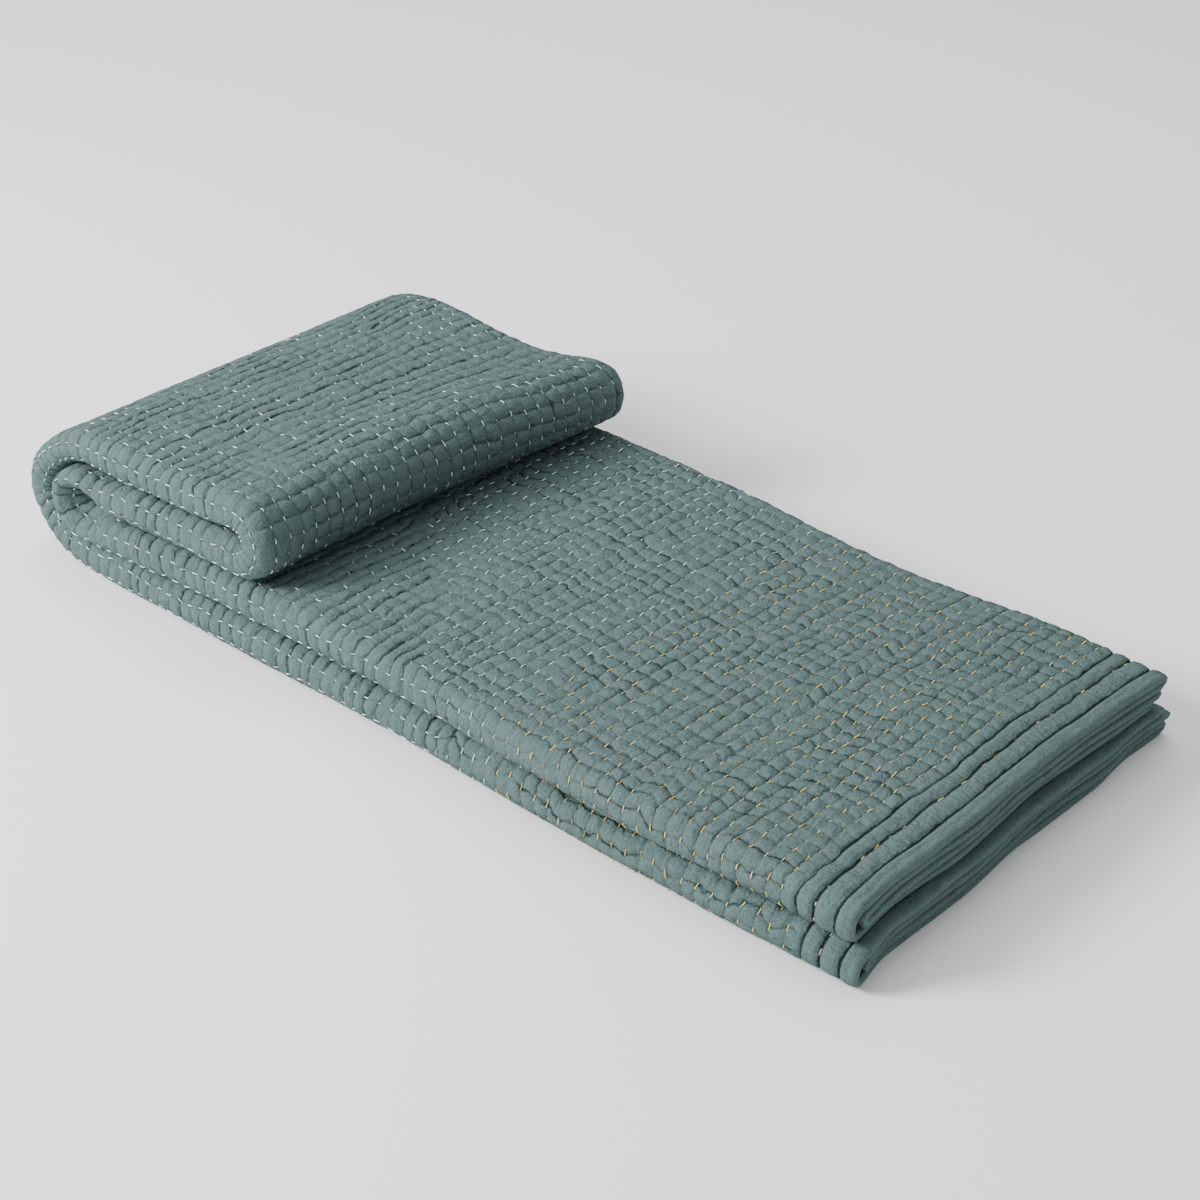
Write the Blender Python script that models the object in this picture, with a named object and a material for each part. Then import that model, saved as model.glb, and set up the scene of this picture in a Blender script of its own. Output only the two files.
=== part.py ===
"""Kantha quilt, folded four layers deep into a band and laid up in four lobes.

The cloth is folded across its width in half and half again, which makes a band four layers deep.
The band lies doubled along its length, and the doubled band is turned over at its left end, so that
a flap covers the left part. Every point of the cloth has two coordinates: u runs along the band from
one hem to the other, and v runs across the cloth from one side edge to the other. The band's middle
follows a curve in the XZ plane, and the four layers follow a section in the YZ plane around it.
"""
import bmesh
import bpy
import numpy as np

# Driving dimensions, in metres. X runs along the band, Y across it and Z up. The hem end is at X = 0
# and the near fold at Y = 0 until the whole is centred on its origin.
BAND_WIDTH = 0.381                # near fold to far fold
CLOTH = 0.0066                    # thickness of the quilted cloth
PITCH = 0.00856                   # from one layer's middle to the next
HALF_BAND = 1.5 * PITCH           # from the band's middle to its outermost layer's middle
LOBE = 4 * PITCH                  # from one lobe's middle to the next
MIDDLE = (-0.4213, 0.19205)       # middle of the folded quilt in plan

# Heights of the lobes' middles: lowest, inner, second from the top, and the flap's top
Z_LOW = HALF_BAND + CLOTH / 2
Z_INNER = Z_LOW + LOBE
Z_SECOND = Z_INNER + LOBE
Z_TOP = Z_SECOND + LOBE

# The tight turn at the flap's right end and the inner turn at the left end
FLAP_END_X = -0.5874
FLAP_END_RADIUS = 0.0196
INNER_TURN_X = -0.772
INNER_TURN_RADIUS = 0.0174
INNER_SQUEEZE = 0.84

# Columns: x, z, squeeze of the layers. The outer turn at the left end, going up
OUTER_TURN = (
    (-0.7550, Z_LOW + 0.0001, 1.00),
    (-0.7780, 0.0168, 0.98),
    (-0.8010, 0.0217, 0.95),
    (-0.8215, 0.0362, 0.90),
    (-0.8326, 0.0565, 0.86),
    (-0.8268, 0.0780, 0.84),
    (-0.8096, 0.0973, 0.83),
    (-0.7884, 0.1109, 0.83),
    (-0.7640, 0.1168, 0.87),
    (-0.7300, 0.1180, 0.98),
    (-0.6900, 0.1179, 1.00),
    (-0.6400, 0.1187, 1.00),
    (-0.6170, 0.1206, 1.00),
    (-0.6000, 0.1231, 1.00),
)

# Columns: x, z, squeeze. The second lobe, from the flap's end to the inner turn
SECOND_RUN = (
    (-0.6000, Z_SECOND + 0.0001, 1.00),
    (-0.6200, Z_SECOND, 1.00),
    (-0.6500, Z_SECOND, 1.00),
    (-0.7000, Z_SECOND, 0.98),
    (-0.7350, Z_SECOND, 0.90),
)

# Where the straight run of the lowest lobe is set, from the hem; the inner lobe has the same
LOW_RUN_X = (0.0, -0.18, -0.36, -0.54, -0.66, -0.71, -0.735)
INNER_RUN_SQUEEZE = 0.92          # of the inner lobe where it comes out of its turn

# Columns: distance from the edge, thickness as a share of CLOTH. Stitched grooves run along each hem
HEM_ROLL = (
    (0.0000, 0.95),
    (0.0035, 1.18),
    (0.0075, 1.08),
    (0.0105, 0.60),
    (0.0180, 0.98),
    (0.0270, 0.60),
    (0.0340, 0.98),
    (0.0410, 0.64),
    (0.0480, 1.00),
)
SIDE_ROLL = (
    (0.0000, 0.80),
    (0.0060, 1.02),
    (0.0140, 0.62),
    (0.0220, 1.00),
)
RIM_BULGE = 0.7                   # how far an edge's middle stands out, as a share of half CLOTH

# Across the cloth: how the section's turns and runs lie
NEAR_TURN_Y = HALF_BAND + CLOTH / 2
FAR_TURN_Y = BAND_WIDTH - PITCH / 2 - CLOTH / 2
INNER_SET_BACK = 0.004            # the inner near turn lies behind the outer one
NEAR_TURN_FULLNESS = 0.85         # 1 is a round near turn, less is a squarer one
LOW_EDGE_Y = BAND_WIDTH - 0.012   # side edge of the fourth layer
HIGH_EDGE_Y = BAND_WIDTH - 0.004  # side edge of the third layer

# The uneven lie of the stack. Bulges have the columns height, centre, width, and steps have the
# columns height, start, end, both along X or across Y. A reach is where an effect starts and is full
NEAR_FOLD_BULGES = ((0.004, -0.45, 0.12), (-0.005, -0.20, 0.12))
FAR_FOLD_BULGES = ((-0.010, -0.24, 0.13),)
FLAP_FAR_BULGES = ((-0.006, -0.80, 0.05), (-0.021, -0.655, 0.085), (0.013, -0.56, 0.03))
LOW_SHARE = 0.7                   # the lowest lobe's folds waver less
LOW_FAR_SPREAD = ((0.013, -0.25, 0.0),)
INNER_TURN_BULGE = ((-0.012, 0.0, 0.10),)
INNER_TURN_REACH = (0.0, 0.10)
TOP_HEM_SKEW = ((-0.006, 0.0, 0.06), (-0.009, 0.12, 0.26))
LOW_HEM_OUT = 0.004               # the lowest lobe's hem reaches further at the near fold
LOW_HEM_SKEW = ((-0.008, 0.0, 0.05), (-0.008, 0.12, 0.22), (-0.004, 0.29, 0.34))
HEM_REACH = (-0.25, 0.0)
# How far the layers' hems lie inside the outermost one's, at the ends of the section's pieces
LAYER_SLIP = (0.0045, 0.0045, 0.0, 0.0, 0.0015, 0.0015, 0.0030, 0.0030)
FLAP_END_SKEW = ((0.011, 0.15, 0.38),)
FLAP_END_REACH = (-0.70, -0.58)
STACK_DIP = ((0.05, -0.25, 0.16),)
STACK_DIP_REACH = (0.10, 0.36)
FLAP_FAR_DROOP = ((0.010, -0.59, 0.055),)
FLAP_FAR_REACH = (0.22, 0.38)
FLAP_LEFT_DROOP = ((0.004, -0.66, -0.77),)
HEM_FAR_DROOP = ((0.005, -0.14, 0.0),)
HEM_FAR_REACH = (0.18, 0.38)
HOLLOW_DEPTH = 0.019              # the inner turn's near end is drawn in around its axis
HOLLOW_RADIUS = (0.025, 0.004)    # where that starts and is full
HOLLOW_STRETCH = 0.6              # distances along X count for less on its open side
HOLLOW_REACH = (0.07, 0.0)
LEFT_U = 0.75                     # length of the lowest and the inner lobe, before their turns
TURN_IN_U = 0.15                  # over which an effect of one lobe fades out in its turn
FLAP_START = (-0.02, 0.08)        # the flap's effects ease in from the outer turn
FLAP_STOP = (0.02, -0.05)         # and out before the inner turn

TURN_STEP = 0.35                  # radians of turn between stations along the band
RUN_STEP = 0.12                   # metres between stations where the band runs straight
BAND_FINE = 6001                  # points of the fine curve that lengths along the band are read from
PIECE_FINE = 400                  # points of each fine run or turn across it


def smooth(start, end, x):
    """0 before start, 1 after end and a cubic ease between."""
    t = np.clip((x - start) / (end - start), 0.0, 1.0)
    return t * t * (3 - 2 * t)


def bump(x, centre, width):
    """A bell of height 1 at centre, falling to 1/e at width."""
    return np.exp(-((x - centre) / width) ** 2)


def arc(centre_x, centre_z, radius, start, end, count, squeeze):
    """Rows of a round turn, from one angle to another in degrees."""
    angles = np.radians(np.linspace(start, end, count))
    return [(centre_x + radius * np.cos(a), centre_z + radius * np.sin(a), squeeze) for a in angles]


def spline(rows, count):
    """Cubic curve through rows; its slope at a row is that of the chord across its neighbours."""
    rows = np.array(rows)
    steps = np.linalg.norm(np.diff(rows[:, :2], axis=0), axis=1)
    knots = np.concatenate([[0.0], np.cumsum(steps)])
    slopes = np.gradient(rows, axis=0) / np.gradient(knots)[:, None]
    at = np.linspace(0.0, knots[-1], count)
    i = np.clip(np.searchsorted(knots, at, side="right") - 1, 0, len(steps) - 1)
    h = steps[i, None]
    t = (at[:, None] - knots[i, None]) / h
    return ((1 + 2 * t) * (1 - t) ** 2 * rows[i] + t * (1 - t) ** 2 * h * slopes[i]
            + t * t * (3 - 2 * t) * rows[i + 1] + t * t * (t - 1) * h * slopes[i + 1])


def along(points):
    """Length along a fine polyline, at each of its points."""
    return np.concatenate([[0.0], np.cumsum(np.linalg.norm(np.diff(points, axis=0), axis=1))])


def band_curve():
    """Middle of the band: its points and squeeze on a fine curve, in the XZ plane."""
    rows = [(x, Z_LOW, 1.0) for x in LOW_RUN_X]
    rows += OUTER_TURN
    rows += arc(FLAP_END_X, Z_SECOND + FLAP_END_RADIUS, FLAP_END_RADIUS, 90, -90, 13, 1.0)
    rows += SECOND_RUN
    inner_z = Z_INNER + INNER_TURN_RADIUS
    rows += arc(INNER_TURN_X, inner_z, INNER_TURN_RADIUS, 90, 270, 15, INNER_SQUEEZE)
    rows += [(x, Z_INNER, INNER_RUN_SQUEEZE if x < LOW_RUN_X[-2] else 1.0) for x in reversed(LOW_RUN_X)]
    return spline(rows, BAND_FINE)


def section_pieces():
    """Runs and turns across the cloth, and the number of segments of each.

    Fine points with the columns y, depth beyond y and height: depth and height are squeezed together.
    """
    def run(start_y, end_y, layer):
        return np.linspace((start_y, 0.0, layer * PITCH), (end_y, 0.0, layer * PITCH), PIECE_FINE)

    def turn(middle_y, layer, radius, start, end, fullness):
        angle = np.radians(np.linspace(start, end, PIECE_FINE))
        round_y, round_z = (np.sign(w) * np.abs(w) ** fullness for w in (np.cos(angle), np.sin(angle)))
        height = layer * PITCH + radius * round_z
        return np.column_stack([np.full(PIECE_FINE, middle_y), radius * round_y, height])

    inner_y = NEAR_TURN_Y + INNER_SET_BACK
    return (
        (run(LOW_EDGE_Y, NEAR_TURN_Y, -1.5), 5),
        (turn(NEAR_TURN_Y, 0.0, HALF_BAND, -90, -270, NEAR_TURN_FULLNESS), 7),
        (run(NEAR_TURN_Y, FAR_TURN_Y, 1.5), 6),
        (turn(FAR_TURN_Y, 1.0, PITCH / 2, 90, -90, 1.0), 4),
        (run(FAR_TURN_Y, inner_y, 0.5), 5),
        (turn(inner_y, 0.0, PITCH / 2, 90, 270, 1.0), 4),
        (run(inner_y, HIGH_EDGE_Y, -0.5), 5),
    )


BAND = band_curve()
U_FINE = along(BAND[:, :2])
LENGTH = U_FINE[-1]
TANGENT = np.gradient(BAND[:, :2], U_FINE, axis=0)
TANGENT /= np.linalg.norm(TANGENT, axis=1)[:, None]
NORMAL = np.column_stack([-TANGENT[:, 1], TANGENT[:, 0]])

PIECES = section_pieces()
SECTION = np.vstack([PIECES[0][0]] + [piece[1:] for piece, _ in PIECES[1:]])
V_FINE = along(np.column_stack([SECTION[:, 0] + SECTION[:, 1], SECTION[:, 2]]))
V_ENDS = V_FINE[np.cumsum([0] + [len(piece) - 1 for piece, _ in PIECES])]
WIDTH = V_FINE[-1]

# Where the outer and inner turns at the left end lie along the band
U_OUTER = U_FINE[np.argmin(BAND[:, 0])]
U_INNER = U_FINE[np.argmin(np.where(U_FINE > LENGTH / 2, BAND[:, 0], 0.0))]


def fold(u, v):
    """Middle of the cloth at u and v: the section across it, carried along the band's curve."""
    x, z, squeeze = (np.interp(u, U_FINE, BAND[:, k]) for k in range(3))
    normal_x, normal_z = (np.interp(u, U_FINE, NORMAL[:, k]) for k in range(2))
    run_y, depth, height = (np.interp(v, V_FINE, SECTION[:, k]) for k in range(3))
    height = height * squeeze
    return np.stack([x + normal_x * height, run_y + depth * squeeze, z + normal_z * height], axis=-1)


def bumps(x, table):
    """Sum of the bells in a table with the columns height, centre, width."""
    return sum(height * bump(x, centre, width) for height, centre, width in table)


def steps(x, table):
    """Sum of the eased steps in a table with the columns height, start, end."""
    return sum(height * smooth(start, end, x) for height, start, end in table)


def settle(points, u, v):
    """The uneven lie of the stack: wavering folds, a skewed flap, skewed hems and soft dips."""
    x, y, z = points[..., 0], points[..., 1], points[..., 2]
    across = y / BAND_WIDTH
    low = smooth(LEFT_U + TURN_IN_U, LEFT_U, u)
    top = smooth(LENGTH - LEFT_U - TURN_IN_U, LENGTH - LEFT_U, u)
    flap = smooth(*FLAP_START, u - U_OUTER) * smooth(*FLAP_STOP, u - U_INNER)

    folds = bumps(x, NEAR_FOLD_BULGES) * (1 - across) + bumps(x, FAR_FOLD_BULGES) * across
    settled_y = y + folds * (top + LOW_SHARE * low) + bumps(x, FLAP_FAR_BULGES) * across * flap
    settled_y += steps(x, LOW_FAR_SPREAD) * across * low
    settled_y += bumps(u - U_INNER, INNER_TURN_BULGE) * (1 - smooth(*INNER_TURN_REACH, y))
    from_axis_x = (x - INNER_TURN_X) * np.where(x > INNER_TURN_X, HOLLOW_STRETCH, 1.0)
    from_axis = np.hypot(from_axis_x, z - Z_INNER - INNER_TURN_RADIUS)
    settled_y += HOLLOW_DEPTH * smooth(*HOLLOW_RADIUS, from_axis) * smooth(*HOLLOW_REACH, y)

    hems = top * steps(y, TOP_HEM_SKEW) + low * (LOW_HEM_OUT + steps(y, LOW_HEM_SKEW))
    slip = np.interp(v, V_ENDS, LAYER_SLIP)
    hems -= top * slip + low * (LAYER_SLIP[0] - slip)
    settled_x = x + hems * smooth(*HEM_REACH, x) + steps(y, FLAP_END_SKEW) * smooth(*FLAP_END_REACH, x) * flap

    dip = bumps(x, STACK_DIP) * smooth(*STACK_DIP_REACH, y)
    flap_droop = bumps(x, FLAP_FAR_DROOP) * smooth(*FLAP_FAR_REACH, y) + steps(x, FLAP_LEFT_DROOP)
    hem_droop = steps(x, HEM_FAR_DROOP) * smooth(*HEM_FAR_REACH, y)
    droop = flap_droop * smooth(Z_INNER + LOBE / 2, Z_TOP, z) + hem_droop * smooth(0.0, Z_INNER, z)
    settled_z = np.maximum(z * (1 - dip) - droop, 0.0)
    return np.stack([settled_x - MIDDLE[0], settled_y - MIDDLE[1], settled_z], axis=-1)


def stations_along_band():
    """Values of u: the hem's own at both ends, and closer ones where the band turns."""
    heading = np.unwrap(np.arctan2(TANGENT[:, 1], TANGENT[:, 0]))
    turned = np.concatenate([[0.0], np.cumsum(np.abs(np.diff(heading)))])
    need = turned / TURN_STEP + U_FINE / RUN_STEP
    hem = np.array([distance for distance, _ in HEM_ROLL])
    start, end = np.interp([hem[-1], LENGTH - hem[-1]], U_FINE, need)
    between = np.linspace(start, end, int(np.ceil(end - start)) + 1)[1:-1]
    return np.concatenate([hem, np.interp(between, need, U_FINE), LENGTH - hem[::-1]])


def stations_across():
    """Values of v: the side edges' own, and an even number in each run and turn."""
    side = np.array([distance for distance, _ in SIDE_ROLL])
    inner = [np.linspace(a, b, count + 1)[:-1] for a, b, (_, count) in zip(V_ENDS, V_ENDS[1:], PIECES)]
    inner = np.concatenate(inner)
    clear = side[-1] + PITCH
    inner = inner[(inner > clear) & (inner < WIDTH - clear)]
    return np.concatenate([side, inner, WIDTH - side[::-1]])


def share_of_thickness(distance, roll):
    """Thickness at a distance from an edge, as a share of CLOTH."""
    table = np.array(roll)
    return np.interp(distance, table[:, 0], table[:, 1])


def quilt_points(u, v):
    """Outer face, inner face and rims of the cloth, as arrays of points over the stations."""
    step = 0.0002
    grid_u, grid_v = np.meshgrid(u, v, indexing="ij")
    middle = fold(grid_u, grid_v)
    along_u = fold(np.minimum(grid_u + step, LENGTH), grid_v) - fold(np.maximum(grid_u - step, 0), grid_v)
    along_v = fold(grid_u, np.minimum(grid_v + step, WIDTH)) - fold(grid_u, np.maximum(grid_v - step, 0))
    along_u /= np.linalg.norm(along_u, axis=-1, keepdims=True)
    along_v /= np.linalg.norm(along_v, axis=-1, keepdims=True)
    normal = np.cross(along_u, along_v)
    hem_share = share_of_thickness(np.minimum(u, LENGTH - u), HEM_ROLL)
    side_share = share_of_thickness(np.minimum(v, WIDTH - v), SIDE_ROLL)
    half = CLOTH / 2 * (hem_share[:, None] * side_share[None, :])[..., None]

    bulge = RIM_BULGE * CLOTH / 2
    outer = settle(middle + normal * half, grid_u, grid_v)
    inner = settle(middle - normal * half, grid_u, grid_v)
    hems = [settle(middle[i] + sign * bulge * along_u[i], grid_u[i], v) for i, sign in ((0, -1), (-1, 1))]
    sides = [settle(middle[:, j] + sign * bulge * along_v[:, j], u, v[j]) for j, sign in ((0, -1), (-1, 1))]
    return outer, inner, hems, sides


def grid_faces(rows):
    """Quads between neighbouring rows of point numbers."""
    return np.stack([rows[:-1, :-1], rows[1:, :-1], rows[1:, 1:], rows[:-1, 1:]], axis=-1).reshape(-1, 4)


def quilt_mesh():
    """One closed skin: the outer and inner faces, joined around the four edges by a bulging rim."""
    u, v = stations_along_band(), stations_across()
    outer, inner, hems, sides = quilt_points(u, v)
    count_u, count_v = len(u), len(v)
    outer_ids = np.arange(count_u * count_v).reshape(count_u, count_v)
    inner_ids = outer_ids + outer_ids.size
    hem_ids = [2 * outer_ids.size + k * count_v + np.arange(count_v) for k in range(2)]
    side_ids = [2 * outer_ids.size + 2 * count_v + k * count_u + np.arange(count_u) for k in range(2)]
    points = np.vstack([outer.reshape(-1, 3), inner.reshape(-1, 3)] + hems + sides)

    faces = [grid_faces(outer_ids), grid_faces(inner_ids[::-1])]
    for k, end in ((0, 0), (1, -1)):
        hem = np.stack([outer_ids[end], hem_ids[k], inner_ids[end]])
        side = np.stack([outer_ids[:, end], side_ids[k], inner_ids[:, end]])
        faces += [grid_faces(hem if k else hem[::-1]), grid_faces(side[::-1] if k else side)]
    quads = [tuple(int(i) for i in face) for part in faces for face in part]
    corners = []
    for k, i in ((0, 0), (1, -1)):
        for m, j in ((0, 0), (1, -1)):
            rim = (int(hem_ids[k][j]), int(side_ids[m][i]))
            corners += [(int(ids[i, j]),) + rim for ids in (outer_ids, inner_ids)]
    mesh = bpy.data.meshes.new("quilt")
    mesh.from_pydata([tuple(p) for p in points.tolist()], [], quads + corners)
    return mesh


def quilted_cotton():
    """Matt washed cotton, grey green."""
    material = bpy.data.materials.new("quilted_cotton")
    material.use_nodes = True
    shader = material.node_tree.nodes["Principled BSDF"]
    shader.inputs["Base Color"].default_value = (0.145, 0.235, 0.215, 1.0)
    shader.inputs["Roughness"].default_value = 0.9
    shader.inputs["Metallic"].default_value = 0.0
    return material


def face_outwards(mesh):
    """Turn every face of the closed skin to the outside."""
    skin = bmesh.new()
    skin.from_mesh(mesh)
    bmesh.ops.recalc_face_normals(skin, faces=skin.faces)
    bmesh.ops.triangulate(skin, faces=skin.faces)
    skin.to_mesh(mesh)
    skin.free()


def main():
    for item in list(bpy.data.objects):
        bpy.data.objects.remove(item)
    mesh = quilt_mesh()
    face_outwards(mesh)
    mesh.shade_smooth()
    mesh.materials.append(quilted_cotton())
    quilt = bpy.data.objects.new("quilt", mesh)
    bpy.context.collection.objects.link(quilt)


main()
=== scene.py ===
"""Kantha quilt, folded: its puffed and stitched cloth, its thread and a plain studio stage.

The cloth has three kinds of coordinates. s and t number the stitched lines across and along it, u and
v are lengths on the flat cloth in metres, and x, y, z are where it lies when folded.
"""

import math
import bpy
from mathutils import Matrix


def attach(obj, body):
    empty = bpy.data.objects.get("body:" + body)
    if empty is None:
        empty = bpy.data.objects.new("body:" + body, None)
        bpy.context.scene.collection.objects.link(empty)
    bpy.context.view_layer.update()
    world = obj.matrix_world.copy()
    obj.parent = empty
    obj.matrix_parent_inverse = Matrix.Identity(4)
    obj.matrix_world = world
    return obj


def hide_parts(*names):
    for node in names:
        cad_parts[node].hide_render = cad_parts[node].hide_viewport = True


bl_info = {
    "name": "Kantha quilt, folded",
    "version": (1, 0, 0),
    "blender": (4, 5, 0),
    "location": "View3D > Sidebar > Quilt",
    "description": "Builds a folded kantha quilt with its running stitches, and a studio stage",
    "category": "Add Mesh",
}

import bpy
import numpy as np
from mathutils import Matrix

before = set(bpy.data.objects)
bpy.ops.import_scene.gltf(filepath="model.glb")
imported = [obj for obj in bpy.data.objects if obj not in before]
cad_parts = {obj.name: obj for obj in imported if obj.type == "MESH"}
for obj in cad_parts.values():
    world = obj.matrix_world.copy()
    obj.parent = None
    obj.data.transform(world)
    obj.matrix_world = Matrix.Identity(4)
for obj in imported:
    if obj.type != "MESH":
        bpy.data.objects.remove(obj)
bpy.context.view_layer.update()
NODE = "quilt"

# ---- the fold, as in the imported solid
# Metres. X runs along the band, Y across it and Z up, from the hem end and the near fold
BAND_WIDTH = 0.381  # near fold to far fold
CLOTH = 0.0066  # mean thickness of the quilted cloth
PITCH = 0.00856  # from one layer's middle to the next
HALF_BAND = 1.5 * PITCH  # from the band's middle to that of its outermost layer
LOBE = 4 * PITCH  # from one lobe's middle to the next
MIDDLE = (-0.4213, 0.19205)  # of the folded quilt in plan
Z_LOW, Z_INNER, Z_SECOND, Z_TOP = (HALF_BAND + CLOTH / 2 + k * LOBE for k in range(4))
FLAP_END_X = -0.5874
FLAP_END_RADIUS = 0.0196
INNER_TURN_X = -0.772
INNER_TURN_RADIUS = 0.0174
INNER_SQUEEZE = 0.84

# Columns: x, z, squeeze of the layers. The outer turn at the left end, going up
OUTER_TURN = (
    (-0.7550, Z_LOW + 0.0001, 1.00), (-0.7780, 0.0168, 0.98),
    (-0.8010, 0.0217, 0.95), (-0.8215, 0.0362, 0.90),
    (-0.8326, 0.0565, 0.86), (-0.8268, 0.0780, 0.84),
    (-0.8096, 0.0973, 0.83), (-0.7884, 0.1109, 0.83),
    (-0.7640, 0.1168, 0.87), (-0.7300, 0.1180, 0.98),
    (-0.6900, 0.1179, 1.00), (-0.6400, 0.1187, 1.00),
    (-0.6170, 0.1206, 1.00), (-0.6000, 0.1231, 1.00),
)
# The same columns for the second lobe, from the flap's end to the inner turn
SECOND_RUN = (
    (-0.6000, Z_SECOND + 0.0001, 1.00), (-0.6200, Z_SECOND, 1.00),
    (-0.6500, Z_SECOND, 1.00), (-0.7000, Z_SECOND, 0.98),
    (-0.7350, Z_SECOND, 0.90),
)
LOW_RUN_X = (0.0, -0.18, -0.36, -0.54, -0.66, -0.71, -0.735)
INNER_RUN_SQUEEZE = 0.92

# Across the cloth: how the section's turns and runs lie
NEAR_TURN_Y = HALF_BAND + CLOTH / 2
FAR_TURN_Y = BAND_WIDTH - PITCH / 2 - CLOTH / 2
INNER_SET_BACK = 0.004  # of the inner near turn, behind the outer one
NEAR_TURN_FULLNESS = 0.85  # 1 is a round near turn, less is a squarer one
LOW_EDGE_Y = BAND_WIDTH - 0.012  # side edge of the fourth layer
HIGH_EDGE_Y = BAND_WIDTH - 0.004  # side edge of the third layer

# The uneven lie of the stack. Bulges have the columns height, centre, width, and steps have the
# columns height, start, end, both along X or across Y. A reach is where an effect starts and is full
NEAR_FOLD_BULGES = ((0.004, -0.45, 0.12), (-0.005, -0.20, 0.12))
FAR_FOLD_BULGES = ((-0.010, -0.24, 0.13),)
FLAP_FAR_BULGES = ((-0.006, -0.80, 0.05), (-0.021, -0.655, 0.085), (0.013, -0.56, 0.03))
LOW_SHARE = 0.7  # the lowest lobe's folds waver less
LOW_FAR_SPREAD = ((0.013, -0.25, 0.0),)
INNER_TURN_BULGE = ((-0.012, 0.0, 0.10),)
INNER_TURN_REACH = (0.0, 0.10)
TOP_HEM_SKEW = ((-0.006, 0.0, 0.06), (-0.009, 0.12, 0.26))
LOW_HEM_OUT = 0.004  # the lowest lobe's hem reaches further at the near fold
LOW_HEM_SKEW = ((-0.008, 0.0, 0.05), (-0.008, 0.12, 0.22), (-0.004, 0.29, 0.34))
HEM_REACH = (-0.25, 0.0)
# How far the layers' hems lie inside the outermost one's, at the ends of the section's pieces
LAYER_SLIP = (0.0045, 0.0045, 0.0, 0.0, 0.0015, 0.0015, 0.0030, 0.0030)
FLAP_END_SKEW = ((0.011, 0.15, 0.38),)
FLAP_END_REACH = (-0.70, -0.58)
STACK_DIP = ((0.05, -0.25, 0.16),)
STACK_DIP_REACH = (0.10, 0.36)
FLAP_FAR_DROOP = ((0.010, -0.59, 0.055),)
FLAP_FAR_REACH = (0.22, 0.38)
FLAP_LEFT_DROOP = ((0.004, -0.66, -0.77),)
HEM_FAR_DROOP = ((0.005, -0.14, 0.0),)
HEM_FAR_REACH = (0.18, 0.38)
HOLLOW_DEPTH = 0.019  # the inner turn's near end is drawn in around its axis
HOLLOW_RADIUS = (0.025, 0.004)  # where that starts and is full
HOLLOW_STRETCH = 0.6  # distances along X count for less on its open side
HOLLOW_REACH = (0.07, 0.0)
LEFT_U = 0.75  # length of the lowest and the inner lobe
TURN_IN_U = 0.15  # where a lobe's effects fade out in its turn
FLAP_START = (-0.02, 0.08)  # the flap's effects ease in from the outer turn
FLAP_STOP = (0.02, -0.05)  # and out before the inner turn
BAND_FINE = 6001  # points of the band's fine curve
PIECE_FINE = 400  # points of each fine run or turn across the band

# ---- the quilting
# A field has the columns seed, size along u, size along v. Bends have how far a line strays, then a field
ROW_PITCH = 0.01235  # from row to row of stitches, where rows follow a hem
CROSS_PITCH = 0.0135  # from one stitch to the next in such a row
TURN_PITCH = 0.0130  # from one crease to the next on the flap and its turns
HEM_LINES = (0.0, 0.0105, 0.027, 0.041)  # stitched lines beside an edge
LINE_NEAR = 0.001  # a line this near to one of them is that one
HEM_FADE = (0.038, 0.051)  # over which they give way to puffs, from the edge
FRAME_DEPTH = 0.745  # rows lie this far in from a hem at most
GOLD_DEPTH = 0.322  # rows nearer to an edge than this are sewn in gold
MITRE = 0.006  # half the width over which two kinds of rows meet
MITRE_BARE = 0.004  # no stitch lies so near to the middle of that
CREASE_BENDS = ((0.0036, 1, 0.050, 0.045), (0.0025, 2, 0.018, 0.015))
HEM_ROW_BENDS = ((0.0014, 20, 0.050, 0.030), (0.0011, 21, 0.030, 0.012))
SIDE_ROW_BENDS = ((0.0014, 30, 0.030, 0.050), (0.0011, 31, 0.012, 0.030))
EDGE_HOLD = (0.004, 0.024)  # from an edge: where lines start to wander, and wander fully
ROW_SHIFT = 0.28  # a row's stitches shift this far at most, in stitches
SLANT, SLANT_FIELD = 0.45, (5, 0.08, 0.06)  # slow change of the same, in stitches
NEAR_NOSE, FAR_NOSE, FLAP_NOSE = 0.016, 0.010, 0.045  # half the width of a fold's nose, and the flap's
NOSE_EASE = 0.25  # creases are so much shallower around a near or far fold's nose
FLAP_END_EASE = 0.65  # creases are so much straighter around the flap's end
FLAP_END_SHALLOW, FLAP_END_DEEP = 0.35, 0.20  # there, those along v are shallower, those along u deeper
# Creases along v and along u: least depth, how much deeper, and how much shallower between stitches
HEM_CREASES = ((0.32, 0.63, 0.60), (0.35, 0.65, 0.30))  # where rows follow a hem
SIDE_CREASES = ((0.42, 0.58, 0.22), (0.18, 0.42, 0.50))  # where they follow a side edge
LINE_CREASES = (0.65, 0.35, 0.0)  # a hem's own lines
# Where creases along v and along u are deep: a field, and the step on it from shallow to deep
DEEP_FIELDS = (((6, 0.011, 0.040), (-0.55, 0.65)), ((10, 0.040, 0.011), (-0.40, 0.75)))
DRAWN_IN = (0.9, 0.045, 0.030)  # creases that the inner turn draws in: depth, width in u and in v
CREASE_WIDTH = 0.0014  # of the thin line in a crease, to each side, which is bumped in and painted with shade
VALLEY_WIDTH = 0.0042  # of the slope down to it, to each side
CREASE_POWER = 0.50  # below 1 a crease is sharp and a puff is full
PUFF_PROUD = 0.0006  # a puff's top, above half the mean thickness
PUFF_DEPTH = 0.0030  # a deep crease, below a puff's top
PUFF_VARIES, PUFF_FIELD = 0.14, (7, 0.025, 0.025)  # half of how much lower a puff may be, as a share
EDGE_PUFF = 0.80  # least height of a puff along an edge, as a share
WRINKLE = 0.12  # height of a wrinkle beside an edge, as a share of a puff
HEM_WRINKLES, SIDE_WRINKLES = (8, 0.020, 0.0045), (9, 0.0045, 0.020)
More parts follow.
